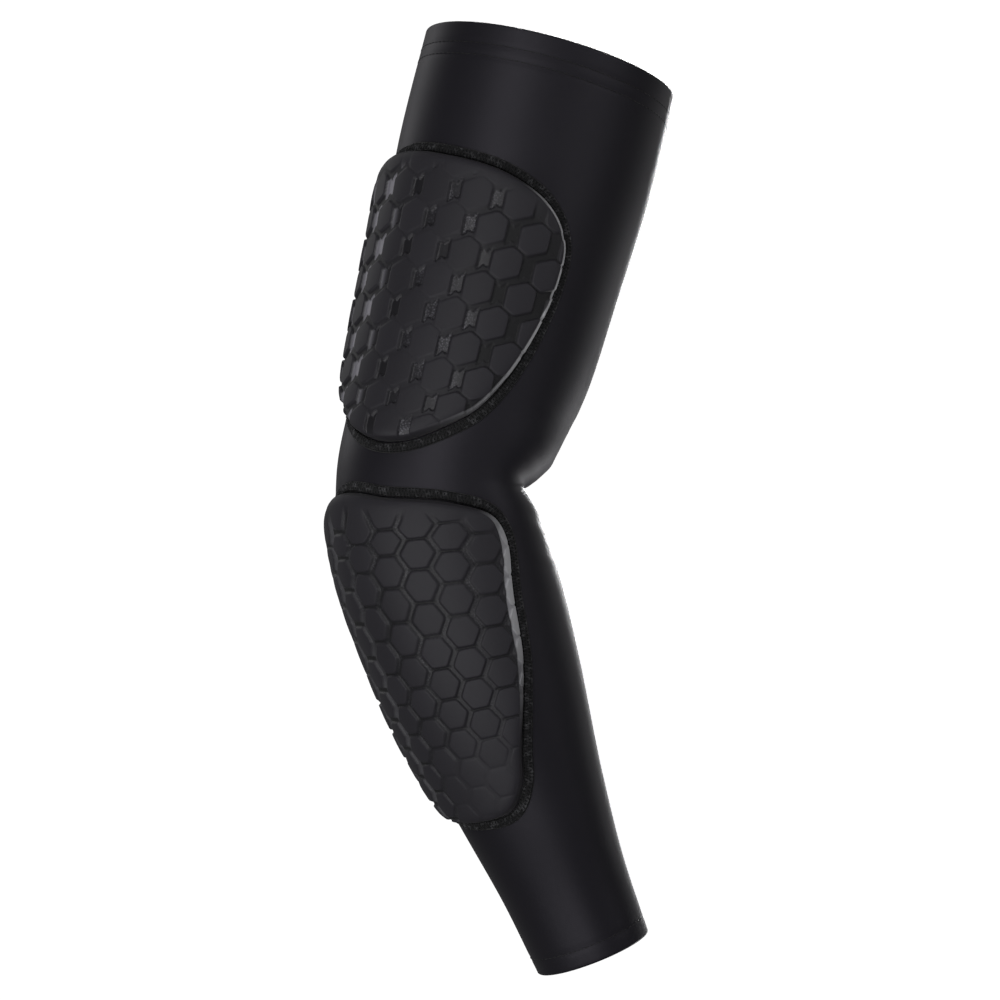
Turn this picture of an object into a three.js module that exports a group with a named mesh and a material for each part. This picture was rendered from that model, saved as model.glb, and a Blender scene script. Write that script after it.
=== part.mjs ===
// A long padded compression sleeve for the arm, as worn: a stretch tube from the upper arm to the
// wrist, a pad of raised hexagon blocks behind the upper arm and another over the elbow and forearm.
// Millimetres, +Z up. The origin is the middle of the elbow. The arm bends in the XZ plane: the
// inner elbow faces +X and the point of the elbow -X. Turns go round the arm from +X towards +Y.
import * as THREE from 'three';

// Sleeve: lengths run along the middle of the arm, from the elbow to each rim
const upperArmLength = 196;
const forearmLength = 214;
const upperRimWidth = 115; // widths run from the inner side of the arm to the elbow's side
const upperRimDepth = 100; // depths run from side to side
const elbowWidth = 98;
const elbowDepth = 92;
const wristRimWidth = 50;
const wristRimDepth = 58;
const upperArmLean = 15; // degrees from upright
const forearmLean = 22; // degrees
const clothThickness = 1.2;

// Crease at the inner elbow
const creaseDepth = 18;
const creaseFadeLength = 37; // how far up and down it fades out
const creaseDropLength = 4; // its deepest line, below the elbow's middle

// Hems: a layer turned in at each end
const upperHemDepth = 15;
const wristHemDepth = 9;
const hemThickness = 1;
const pieceGap = 0.35;

// Pads: heights stand on the sleeve, turns are in degrees past the point of the elbow
const padSeatGap = 0.45; // clearance under a pad and under its seam
const padBaseHeight = 4.2; // top of the foam sheet between the blocks
const blockHeight = 2.8;
const padWallWidth = 2; // how far the foot of the pad's sloped edge stands out
const rimWidth = 1.5; // plain border round the blocks
const elbowPadLength = 126.4;
const elbowPadWidth = 113; // round the arm, at the pad's middle
const elbowPadHeight = 71; // the pad's middle, above the elbow
const elbowPadTurn = 31; // degrees
const elbowPadSlant = 4; // degrees
const forearmPadLength = 135.2;
const forearmPadWidth = 93;
const forearmPadDepth = 71; // the pad's middle, below the elbow
const forearmPadTurn = 27; // degrees
const forearmPadSlant = 5; // degrees

// Hexagon blocks: pitches across and down the pad, and the block's size from flat to flat
const elbowPitchAcross = 16.4;
const elbowPitchDown = 13.4;
const elbowBlockSize = 13;
const forearmPitchAcross = 11.75;
const forearmPitchDown = 13;
const forearmBlockSize = 12.2;
const blockWallWidth = 1; // how far the foot of a block's sloped wall stands out

// Seam: the stitched band round each pad
const seamWidth = 4.6;
const seamThickness = 0.8;

// Fineness of the facets
const roundSteps = 28; // facets round the arm
const stationsPerHalf = 15;
const stationCrowding = 1.4; // over 1 sets the stations closer together at the elbow
const outlineSteps = 44;
const walkSteps = 200; // steps along the middle line of each half of the arm
const smallestBlockShare = 0.08; // a block cut smaller than this share of a square cell is left out
const smallestCrownShare = 0.4; // a cut block keeps at least this share of its width on top

const rad = Math.PI / 180;
const tiny = 1e-6;
const leastArea = 1e-3; // scraps of a cell smaller than this are left out

// Lean of the arm along its length. reach: share of that half from the elbow, minus above it;
// lean: share of that half's lean.
const leanRows = [
  { reach: -1, lean: -1 },
  { reach: -0.46, lean: -1 },
  { reach: -0.16, lean: -0.95 },
  { reach: -0.05, lean: -1 },
  { reach: 0.04, lean: 0.5 },
  { reach: 0.1, lean: 0.45 },
  { reach: 0.33, lean: 0.83 },
  { reach: 0.62, lean: 1.05 },
  { reach: 1, lean: 1.13 },
];

// Sections along the arm: width and depth go from the elbow's size, 0, to that half's rim, 1
const sectionRows = [
  { reach: -1, width: 1, depth: 1 },
  { reach: -0.75, width: 1, depth: 1 },
  { reach: -0.48, width: 0.56, depth: 0.88 },
  { reach: -0.28, width: 0.29, depth: 0.62 },
  { reach: -0.13, width: 0.15, depth: 0.25 },
  { reach: 0, width: 0, depth: 0 },
  { reach: 0.14, width: 0.02, depth: 0 },
  { reach: 0.28, width: 0.22, depth: 0.03 },
  { reach: 0.46, width: 0.41, depth: 0.2 },
  { reach: 0.68, width: 0.71, depth: 0.56 },
  { reach: 0.84, width: 0.9, depth: 0.85 },
  { reach: 1, width: 1, depth: 1 },
];

// One side of each pad's outline, from its top to its bottom: shares of its half width and length
const elbowPadEdge = [
  { across: 0, down: -1 },
  { across: 0.42, down: -0.98 },
  { across: 0.76, down: -0.865 },
  { across: 0.95, down: -0.66 },
  { across: 1, down: -0.4 },
  { across: 0.965, down: 0 },
  { across: 0.845, down: 0.41 },
  { across: 0.67, down: 0.7 },
  { across: 0.37, down: 0.935 },
  { across: 0, down: 1 },
];
const forearmPadEdge = [
  { across: 0, down: -1 },
  { across: 0.55, down: -0.985 },
  { across: 0.85, down: -0.9 },
  { across: 0.98, down: -0.74 },
  { across: 1, down: -0.4 },
  { across: 0.995, down: 0 },
  { across: 0.9, down: 0.3 },
  { across: 0.765, down: 0.6 },
  { across: 0.67, down: 0.81 },
  { across: 0.47, down: 0.96 },
  { across: 0, down: 1 },
];

const elbowPad = {
  edge: elbowPadEdge,
  length: elbowPadLength,
  width: elbowPadWidth,
  middle: -elbowPadHeight,
  turn: elbowPadTurn,
  slant: elbowPadSlant,
  blocks: {
    pointsDown: true,
    slant: 0,
    pitchAcross: elbowPitchAcross,
    pitchDown: elbowPitchDown,
    size: elbowBlockSize,
    startAcross: -0.35, // shares of the pitches, from the pad's middle to a block's middle
    startDown: -0.53,
  },
};
const forearmPad = {
  edge: forearmPadEdge,
  length: forearmPadLength,
  width: forearmPadWidth,
  middle: forearmPadDepth,
  turn: forearmPadTurn,
  slant: forearmPadSlant,
  blocks: {
    pointsDown: false,
    slant: forearmPadSlant,
    pitchAcross: forearmPitchAcross,
    pitchDown: forearmPitchDown,
    size: forearmBlockSize,
    startAcross: 0.03,
    startDown: -0.07,
  },
};

// A table's column at a reach, on a smooth curve through its rows
function smoothColumn(rows, column, reach) {
  const last = rows.length - 2;
  let i = rows.findIndex((row, k) => k > 0 && row.reach >= reach) - 1;
  if (i < 0) i = reach < 0 ? 0 : last;
  const step = (k) => rows[k + 1].reach - rows[k].reach;
  const slope = (k) => (rows[k + 1][column] - rows[k][column]) / step(k);
  const slopeAt = (k) => {
    if (k === 0) return slope(0);
    if (k > last) return slope(last);
    return (slope(k - 1) * step(k) + slope(k) * step(k - 1)) / (step(k) + step(k - 1));
  };
  const t = (reach - rows[i].reach) / step(i);
  const part = 3 * t ** 2 - 2 * t ** 3;
  const between = (1 - part) * rows[i][column] + part * rows[i + 1][column];
  const bend = slopeAt(i) * (t ** 3 - 2 * t ** 2 + t) + slopeAt(i + 1) * (t ** 3 - t ** 2);
  return between + step(i) * bend;
}

const reachOf = (down) => down / (down < 0 ? upperArmLength : forearmLength);

function leanAt(down) {
  const share = smoothColumn(leanRows, 'lean', reachOf(down));
  return share * (down < 0 ? upperArmLean : forearmLean) * rad;
}

function halfWidthAt(down) {
  const rim = down < 0 ? upperRimWidth : wristRimWidth;
  return (elbowWidth + smoothColumn(sectionRows, 'width', reachOf(down)) * (rim - elbowWidth)) / 2;
}

function halfDepthAt(down) {
  const rim = down < 0 ? upperRimDepth : wristRimDepth;
  return (elbowDepth + smoothColumn(sectionRows, 'depth', reachOf(down)) * (rim - elbowDepth)) / 2;
}

// The arm's middle line, walked from the elbow in short steps, up with sign -1 and down with 1
function walkArm(length, sign) {
  const stride = length / walkSteps;
  const steps = [{ x: 0, z: 0 }];
  for (let i = 0; i <= walkSteps; i += 1) {
    const lean = leanAt(sign * Math.min((i + 0.5) * stride, length));
    const { x, z } = steps[i];
    steps.push({ x: x + sign * stride * Math.sin(lean), z: z - sign * stride * Math.cos(lean) });
  }
  return { steps, stride };
}
const upperWalk = walkArm(upperArmLength, -1);
const forearmWalk = walkArm(forearmLength, 1);

function middleAt(down) {
  const { steps, stride } = down < 0 ? upperWalk : forearmWalk;
  const place = Math.abs(down) / stride;
  const i = Math.min(Math.floor(place), steps.length - 2);
  const part = place - i;
  return {
    x: steps[i].x + part * (steps[i + 1].x - steps[i].x),
    z: steps[i].z + part * (steps[i + 1].z - steps[i].z),
  };
}

// A point on the arm: down from the elbow's middle, turned round the arm, at a height off the cloth.
// The section is an ellipse square to the lean, dented at the inner elbow.
function onArm(down, turn, height) {
  const middle = middleAt(down);
  const lean = leanAt(down);
  const wide = halfWidthAt(down);
  const deep = halfDepthAt(down);
  const fade = Math.exp(-(((down - creaseDropLength) / creaseFadeLength) ** 2));
  const dent = creaseDepth * fade * Math.max(Math.cos(turn), 0) ** 2;
  const normal = new THREE.Vector2(Math.cos(turn) / wide, Math.sin(turn) / deep).normalize();
  const out = wide * Math.cos(turn) + (height - dent) * normal.x;
  const side = deep * Math.sin(turn) + (height - dent) * normal.y;
  return [middle.x + out * Math.cos(lean), side, middle.z + out * Math.sin(lean)];
}

function geometryFrom(points, triangles) {
  const geometry = new THREE.BufferGeometry();
  geometry.setAttribute('position', new THREE.Float32BufferAttribute(points.flat(), 3));
  geometry.setIndex(triangles.flat());
  geometry.computeVertexNormals();
  return geometry;
}

// A ring-shaped skin closed both ways: rows run round its section, columns along it
function closedSkin(rows, columns, pointAt) {
  const points = [];
  const triangles = [];
  for (let i = 0; i < rows; i += 1) {
    for (let j = 0; j < columns; j += 1) {
      points.push(pointAt(i, j));
      const next = ((i + 1) % rows) * columns;
      const right = (j + 1) % columns;
      triangles.push([i * columns + j, next + j, next + right]);
      triangles.push([i * columns + j, next + right, i * columns + right]);
    }
  }
  return geometryFrom(points, triangles);
}

// A layer of cloth round the arm between two heights, at the given stations from top to bottom
function layerRound(stations, outerHeight, innerHeight) {
  const section = [
    ...stations.map((down) => ({ down, height: outerHeight })),
    ...stations.toReversed().map((down) => ({ down, height: innerHeight })),
  ];
  return closedSkin(section.length, roundSteps, (i, j) =>
    onArm(section[i].down, (2 * Math.PI * j) / roundSteps, section[i].height));
}

// Stations lie close together at the elbow and spread towards the rims
function sleeveStations() {
  const share = (_, i) => ((i + 1) / stationsPerHalf) ** stationCrowding;
  const shares = Array.from({ length: stationsPerHalf }, share);
  return [
    ...shares.toReversed().map((part) => -upperArmLength * part),
    0,
    ...shares.map((part) => forearmLength * part),
  ];
}

function makeSleeve() {
  return layerRound(sleeveStations(), 0, -clothThickness);
}

function makeHem(top, depth) {
  const outer = -clothThickness - pieceGap;
  return layerRound([top, top + depth / 2, top + depth], outer, outer - hemThickness);
}

function turnFlat([across, down], degrees) {
  const cos = Math.cos(degrees * rad);
  const sin = Math.sin(degrees * rad);
  return [across * cos - down * sin, down * cos + across * sin];
}

// A pad's outline laid flat, as evenly spaced points on a smooth closed curve
function flatOutline(pad) {
  const place = ({ across, down }, side) => {
    const [x, y] = turnFlat([(side * across * pad.width) / 2, (down * pad.length) / 2], pad.slant);
    return new THREE.Vector3(x, y, 0);
  };
  const near = pad.edge.map((row) => place(row, 1));
  const far = pad.edge.slice(1, -1).toReversed().map((row) => place(row, -1));
  const curve = new THREE.CatmullRomCurve3([...near, ...far], true, 'centripetal');
  return curve.getSpacedPoints(outlineSteps).slice(0, -1).map(({ x, y }) => [x, y]);
}

// Outward directions of a flat outline at its points
function outwards(outline) {
  return outline.map((_, i) => {
    const [x0, y0] = outline.at(i - 1);
    const [x1, y1] = outline[(i + 1) % outline.length];
    const size = Math.hypot(x1 - x0, y1 - y0);
    return [(y1 - y0) / size, (x0 - x1) / size];
  });
}

// A flat point of a pad on the arm: the pad stretches round with the arm's girth
function onPad(pad, [across, down], height) {
  const girthRadius = (halfWidthAt(pad.middle) + halfDepthAt(pad.middle)) / 2;
  return onArm(pad.middle + down, Math.PI + pad.turn * rad + across / girthRadius, height);
}

// A pad's outline moved outwards by a distance measured on the arm, where the flat pad is stretched
function moveOut(pad, outline, distance) {
  const ways = outwards(outline);
  return outline.map(([x, y], i) => {
    const [wayX, wayY] = ways[i];
    const from = new THREE.Vector3(...onPad(pad, [x, y], 0));
    const to = new THREE.Vector3(...onPad(pad, [x + wayX, y + wayY], 0));
    const flat = distance / from.distanceTo(to);
    return [x + flat * wayX, y + flat * wayY];
  });
}

// The part of a flat outline that lies inside a convex cell, corners of both in the same turning sense
function cutToCell(outline, cell) {
  let piece = outline;
  cell.forEach(([x0, y0], i) => {
    const [x1, y1] = cell[(i + 1) % cell.length];
    const side = ([x, y]) => (x1 - x0) * (y - y0) - (y1 - y0) * (x - x0);
    const kept = [];
    piece.forEach((point, k) => {
      const before = piece.at(k - 1);
      const a = side(before);
      const b = side(point);
      if (a >= 0 !== b >= 0) {
        const part = a / (a - b);
        kept.push(before.map((value, axis) => value + part * (point[axis] - value)));
      }
      if (b >= 0) kept.push(point);
    });
    piece = kept;
  });
  return piece;
}

function flatArea(piece) {
  const doubled = piece.reduce((sum, [x, y], i) => {
    const [nextX, nextY] = piece[(i + 1) % piece.length];
    return sum + x * nextY - y * nextX;
  }, 0);
  return doubled / 2;
}

function flatMiddle(piece) {
  const sum = piece.reduce(([x, y], point) => [x + point[0], y + point[1]], [0, 0]);
  return [sum[0] / piece.length, sum[1] / piece.length];
}

// A hexagon's corners from its half size between flats, and half its length and half its side along
// the points
function hexagon([x, y], halfFlat, halfPoint, halfSide, pointsDown) {
  const upright = [
    [0, -halfPoint],
    [halfFlat, -halfSide],
    [halfFlat, halfSide],
    [0, halfPoint],
    [-halfFlat, halfSide],
    [-halfFlat, -halfSide],
  ];
  return upright.map(([a, b]) => (pointsDown ? [x + a, y + b] : [x - b, y + a]));
}

// The cells of a pad's pattern: each is the hexagon that it fills and the hexagon of its block
function padCells(pad) {
  const { pointsDown, slant, pitchAcross, pitchDown, size, startAcross, startDown } = pad.blocks;
  const along = pointsDown ? pitchDown : pitchAcross; // pitch of the rows that are shifted in turn
  const within = pointsDown ? pitchAcross : pitchDown;
  const rows = Math.ceil(Math.max(pad.length, pad.width) / along);
  const cells = [];
  for (let row = -rows; row <= rows; row += 1) {
    for (let k = -rows; k <= rows; k += 1) {
      const shifted = (k + (row % 2 === 0 ? 0 : 0.5)) * within;
      const x = startAcross * pitchAcross + (pointsDown ? shifted : row * along);
      const y = startDown * pitchDown + (pointsDown ? row * along : shifted);
      const filled = hexagon([x, y], within / 2, (2 * along) / 3, along / 3, pointsDown);
      const regular = [size / 2, size / Math.sqrt(3), size / Math.sqrt(12)];
      const block = hexagon([x, y], ...regular, pointsDown);
      cells.push({
        fill: filled.map((corner) => turnFlat(corner, slant)),
        block: block.map((corner) => turnFlat(corner, slant)),
      });
    }
  }
  return cells;
}

// A pad: a foam sheet with a sloped edge and a raised block with sloped walls on each cell
function makePad(pad) {
  const foot = flatOutline(pad);
  const sheet = moveOut(pad, foot, -padWallWidth);
  const blockLimit = moveOut(pad, foot, -padWallWidth - rimWidth);
  const smallestBlock = smallestBlockShare * pad.blocks.size ** 2;
  const heights = { under: padSeatGap, sheet: padBaseHeight, top: padBaseHeight + blockHeight };
  const points = [];
  const triangles = [];
  const indexOf = new Map();

  // Where a point of the sheet's border stands on the foot of the sloped edge
  const footOf = ([x, y]) => {
    for (let i = 0; i < sheet.length; i += 1) {
      const k = (i + 1) % sheet.length;
      const [dx, dy] = [sheet[k][0] - sheet[i][0], sheet[k][1] - sheet[i][1]];
      const part = ((x - sheet[i][0]) * dx + (y - sheet[i][1]) * dy) / (dx * dx + dy * dy);
      const off = Math.hypot(x - sheet[i][0] - part * dx, y - sheet[i][1] - part * dy);
      if (part > -tiny && part < 1 + tiny && off < tiny) {
        return foot[i].map((value, axis) => value + part * (foot[k][axis] - value));
      }
    }
    return [x, y];
  };

  const vertex = (layer, [x, y]) => {
    const key = `${layer} ${x.toFixed(3)} ${y.toFixed(3)}`.replaceAll('-0.000', '0.000');
    if (!indexOf.has(key)) {
      const place = layer === 'under' ? footOf([x, y]) : [x, y];
      indexOf.set(key, points.length);
      points.push(onPad(pad, place, heights[layer]));
    }
    return indexOf.get(key);
  };
  const addTriangle = (a, b, c) => {
    if (a !== b && b !== c && c !== a) triangles.push([a, b, c]);
  };
  const addWall = (a, b, highA, highB, low) => {
    const corners = [vertex(...highA), vertex(...highB), vertex(low, b), vertex(low, a)];
    addTriangle(corners[0], corners[1], corners[2]);
    addTriangle(corners[0], corners[2], corners[3]);
  };

  const borders = new Map();
  for (const cell of padCells(pad)) {
    const fill = cutToCell(sheet, cell.fill);
    if (fill.length < 3 || flatArea(fill) < leastArea) continue;
    const block = cutToCell(blockLimit, cell.block);
    const raised = block.length > 2 && flatArea(block) > smallestBlock;
    const middle = flatMiddle(fill);
    fill.forEach((a, i) => {
      const b = fill[(i + 1) % fill.length];
      addTriangle(vertex('under', a), vertex('under', b), vertex('under', middle));
      const [from, to] = [vertex('sheet', a), vertex('sheet', b)];
      if (from === to) return;
      if (borders.has(`${to} ${from}`)) borders.delete(`${to} ${from}`);
      else borders.set(`${from} ${to}`, [a, b]);
    });
    const holes = raised ? [block] : [];
    const flat = [...fill, ...holes.flat()];
    const asVectors = (piece) => piece.map(([x, y]) => new THREE.Vector2(x, y));
    const cut = THREE.ShapeUtils.triangulateShape(asVectors(fill), holes.map(asVectors));
    for (const corners of cut) {
      const facing = flatArea(corners.map((k) => flat[k])) < 0 ? corners : corners.toReversed();
      addTriangle(...facing.map((k) => vertex('sheet', flat[k])));
    }
    if (!raised) continue;
    const centre = flatMiddle(block);
    const crown = block.map(([x, y]) => {
      const reach = Math.hypot(x - centre[0], y - centre[1]);
      const part = Math.max(1 - blockWallWidth / reach, smallestCrownShare);
      return [centre[0] + part * (x - centre[0]), centre[1] + part * (y - centre[1])];
    });
    block.forEach((a, i) => {
      const k = (i + 1) % block.length;
      addWall(a, block[k], ['top', crown[i]], ['top', crown[k]], 'sheet');
      addTriangle(vertex('top', crown[k]), vertex('top', crown[i]), vertex('top', centre));
    });
  }
  for (const [a, b] of borders.values()) addWall(a, b, ['sheet', a], ['sheet', b], 'under');
  return geometryFrom(points, triangles);
}

// The stitched band that runs round a pad, just outside its foot
function makeSeam(pad) {
  const foot = flatOutline(pad);
  const edges = {
    inner: moveOut(pad, foot, pieceGap),
    outer: moveOut(pad, foot, pieceGap + seamWidth),
  };
  const section = [
    { edge: 'outer', height: padSeatGap + seamThickness },
    { edge: 'inner', height: padSeatGap + seamThickness },
    { edge: 'inner', height: padSeatGap },
    { edge: 'outer', height: padSeatGap },
  ];
  return closedSkin(section.length, foot.length, (i, j) =>
    onPad(pad, edges[section[i].edge][j], section[i].height));
}

const cloth = { color: 0x1d1d20, roughness: 0.62, metalness: 0 };
const foam = { color: 0x2f2e33, roughness: 0.7, metalness: 0 };
const thread = { color: 0x17171a, roughness: 0.85, metalness: 0 };

function addPiece(group, name, geometry, finish) {
  const mesh = new THREE.Mesh(geometry, new THREE.MeshStandardMaterial(finish));
  mesh.name = name;
  group.add(mesh);
}

const guard = new THREE.Group();
addPiece(guard, 'compression_sleeve', makeSleeve(), cloth);
addPiece(guard, 'upper_hem', makeHem(-upperArmLength, upperHemDepth), cloth);
addPiece(guard, 'wrist_hem', makeHem(forearmLength - wristHemDepth, wristHemDepth), cloth);
addPiece(guard, 'elbow_pad', makePad(elbowPad), foam);
addPiece(guard, 'forearm_pad', makePad(forearmPad), foam);
addPiece(guard, 'elbow_pad_seam', makeSeam(elbowPad), thread);
addPiece(guard, 'forearm_pad_seam', makeSeam(forearmPad), thread);

export default guard;
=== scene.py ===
import math

import bpy
import numpy as np
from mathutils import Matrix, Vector


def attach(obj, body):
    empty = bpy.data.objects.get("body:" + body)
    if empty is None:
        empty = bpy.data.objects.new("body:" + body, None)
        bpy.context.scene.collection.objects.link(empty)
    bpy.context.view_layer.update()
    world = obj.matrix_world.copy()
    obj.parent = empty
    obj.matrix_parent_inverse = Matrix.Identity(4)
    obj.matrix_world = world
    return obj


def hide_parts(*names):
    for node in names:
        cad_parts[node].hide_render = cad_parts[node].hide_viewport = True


# A long padded compression sleeve, as worn on a bent arm: knitted tube, hems, two foam pads, stitched bands

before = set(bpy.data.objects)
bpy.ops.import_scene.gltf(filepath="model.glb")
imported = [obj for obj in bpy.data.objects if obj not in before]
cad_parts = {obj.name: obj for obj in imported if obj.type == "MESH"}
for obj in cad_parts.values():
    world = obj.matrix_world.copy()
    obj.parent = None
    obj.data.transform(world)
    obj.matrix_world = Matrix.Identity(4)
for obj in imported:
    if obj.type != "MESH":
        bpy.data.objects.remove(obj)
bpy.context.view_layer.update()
mm = 0.001
print("frame loaded:", len(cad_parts), "nodes")

camera = {
    "azimuth": -25,
    "elevation": -4.6,
    "distance": 3.3,
    "target": (0.0253, 0, -0.0039),
    "lens": 271.9,
    "sensor": 36,
}


def addCamera():
    # back = (sin A cos E, -cos A cos E, sin E); the camera stands at target + back * distance
    turn, rise = math.radians(camera["azimuth"]), math.radians(camera["elevation"])
    back = Vector((math.sin(turn) * math.cos(rise), -math.cos(turn) * math.cos(rise), math.sin(rise)))
    data = bpy.data.cameras.new("photoCamera")
    data.lens = camera["lens"]
    data.sensor_width = camera["sensor"]
    data.clip_start, data.clip_end = 0.05, 60
    eye = bpy.data.objects.new("photoCamera", data)
    eye.location = Vector(camera["target"]) + back * camera["distance"]
    eye.rotation_mode = "QUATERNION"
    eye.rotation_quaternion = (-back).to_track_quat("-Z", "Y")
    bpy.context.scene.collection.objects.link(eye)
    bpy.context.scene.camera = eye


addCamera()
print("camera placed")


# Maths shared by the pieces

def bell(x, middle, width):
    # exp(-((x - middle) / width)^2)
    return np.exp(-(((x - middle) / width) ** 2))


def smoothStep(t):
    # 3 t^2 - 2 t^3, with t held from 0 to 1
    t = np.clip(t, 0, 1)
    return t * t * (3 - 2 * t)


def softEdge(distance, width):
    # from 0 to 1 over the width, half way where the distance is nought
    return smoothStep(distance / width + 0.5)


def runAlong(path):
    # the distance run along a path of points, from nought
    return np.concatenate([[0], np.cumsum(np.linalg.norm(np.diff(path, axis=0), axis=1))])


def hash01(*values):
    # a fixed number from 0 to 1 for each whole-numbered place
    mixed = sum(v * k for v, k in zip(values, (12.9898, 78.233, 37.719)))
    return np.mod(np.abs(np.sin(mixed) * 43758.5453), 1)


# The worn arm: lengths along its middle line from the elbow, widths from the inner to the outer side
arm = {
    "upperLength": 196 * mm,
    "forearmLength": 214 * mm,
    "upperRim": (115 * mm, 100 * mm),
    "elbow": (98 * mm, 92 * mm),
    "wristRim": (50 * mm, 58 * mm),
    "upperLean": math.radians(15),
    "forearmLean": math.radians(22),
    "creaseDepth": 18 * mm,
    "creaseFade": 37 * mm,
    "creaseDrop": 4 * mm,
    # reach: share of that half from the elbow, minus above; lean: share of that half's lean
    "leanRows": {
        "reach": (-1, -0.46, -0.16, -0.05, 0.04, 0.1, 0.33, 0.62, 1),
        "lean": (-1, -1, -0.95, -1, 0.5, 0.45, 0.83, 1.05, 1.13),
    },
    # width and depth go from the elbow's size, 0, to that half's rim, 1
    "sectionRows": {
        "reach": (-1, -0.75, -0.48, -0.28, -0.13, 0, 0.14, 0.28, 0.46, 0.68, 0.84, 1),
        "width": (1, 1, 0.56, 0.29, 0.15, 0, 0.02, 0.22, 0.41, 0.71, 0.9, 1),
        "depth": (1, 1, 0.88, 0.62, 0.25, 0, 0, 0.03, 0.2, 0.56, 0.85, 1),
    },
}


def smoothColumn(rows, column, x):
    # cubic pieces through a table's rows; a row's slope is the mean of those beside it, weighted crosswise
    at, values = np.array(rows["reach"], float), np.array(rows[column], float)
    step = np.diff(at)
    slope = np.diff(values) / step
    inner = (slope[:-1] * step[1:] + slope[1:] * step[:-1]) / (step[1:] + step[:-1])
    tangent = np.concatenate([slope[:1], inner, slope[-1:]])
    k = np.clip(np.searchsorted(at, x) - 1, 0, len(step) - 1)
    t = (x - at[k]) / step[k]
    part = t * t * (3 - 2 * t)
    bend = tangent[k] * (t**3 - 2 * t**2 + t) + tangent[k + 1] * (t**3 - t**2)
    return (1 - part) * values[k] + part * values[k + 1] + step[k] * bend


def reachOf(down):
    return np.clip(down / np.where(down < 0, arm["upperLength"], arm["forearmLength"]), -1, 1)


def leanAt(down):
    share = smoothColumn(arm["leanRows"], "lean", reachOf(down))
    return share * np.where(down < 0, arm["upperLean"], arm["forearmLean"])


def halfSizeAt(down, column, k):
    # half of elbow + share * (rim - elbow)
    rim = np.where(down < 0, arm["upperRim"][k], arm["wristRim"][k])
    share = smoothColumn(arm["sectionRows"], column, reachOf(down))
    return (arm["elbow"][k] + share * (rim - arm["elbow"][k])) / 2


def walkMiddle(stride=0.5 * mm, spare=2 * mm):
    # the middle line: x is the running sum of sin lean, z of -cos lean, both nought at the elbow
    ends = [arm["upperLength"] + spare, arm["forearmLength"] + spare]
    down = np.arange(-round(ends[0] / stride), round(ends[1] / stride) + 1) * stride
    lean = leanAt((down[1:] + down[:-1]) / 2)
    x = np.concatenate([[0], np.cumsum(stride * np.sin(lean))])
    z = np.concatenate([[0], np.cumsum(-stride * np.cos(lean))])
    return down, x - np.interp(0, down, x), z - np.interp(0, down, z)


middleLine = walkMiddle()


def onArm(down, turn, height):
    # an ellipse square to the lean, dented at the inner elbow; the height moves it along its normal
    down, turn, height = np.broadcast_arrays(*(np.asarray(part, float) for part in (down, turn, height)))
    lean = leanAt(down)
    wide, deep = halfSizeAt(down, "width", 0), halfSizeAt(down, "depth", 1)
    fade = bell(down, arm["creaseDrop"], arm["creaseFade"])
    rise = height - arm["creaseDepth"] * fade * np.maximum(np.cos(turn), 0) ** 2
    normalOut, normalSide = np.cos(turn) / wide, np.sin(turn) / deep
    size = np.hypot(normalOut, normalSide)
    out = wide * np.cos(turn) + rise * normalOut / size
    side = deep * np.sin(turn) + rise * normalSide / size
    x = np.interp(down, middleLine[0], middleLine[1]) + out * np.cos(lean)
    z = np.interp(down, middleLine[0], middleLine[2]) + out * np.sin(lean)
    return np.stack([x, side, z], -1)


# Mesh helpers: a grid of points, threads, and the object that holds them

def gridQuads(rows, columns, closeRows, closeColumns):
    # corners (i, j), (i + 1, j), (i + 1, j + 1), (i, j + 1), wrapped where the grid closes
    i, j = np.meshgrid(
        np.arange(rows if closeRows else rows - 1),
        np.arange(columns if closeColumns else columns - 1),
        indexing="ij",
    )
    below, right = (i + 1) % rows, (j + 1) % columns
    corners = [i * columns + j, below * columns + j, below * columns + right, i * columns + right]
    return np.stack(corners, -1).reshape(-1, 4)


def addPiece(name, points, faces, uv=None, attributes=None):
    mesh = bpy.data.meshes.new(name)
    mesh.from_pydata(points.reshape(-1, 3).tolist(), [], faces if isinstance(faces, list) else faces.tolist())
    mesh.polygons.foreach_set("use_smooth", np.ones(len(mesh.polygons), bool))
    if uv is not None:
        layer = mesh.uv_layers.new(name="cloth")
        layer.uv.foreach_set("vector", np.asarray(uv, np.float32).ravel())
    for key, values in (attributes or {}).items():
        layer = mesh.attributes.new(key, "FLOAT", "POINT")
        layer.data.foreach_set("value", np.asarray(values, np.float32).ravel())
    mesh.update()
    piece = bpy.data.objects.new(name, mesh)
    bpy.context.scene.collection.objects.link(piece)
    return piece


threadTip = {
    "narrowing": 0.85,
    "power": 5,
    "reach": 0.4,  # how far the closing point stands out, in radii
}


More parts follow.
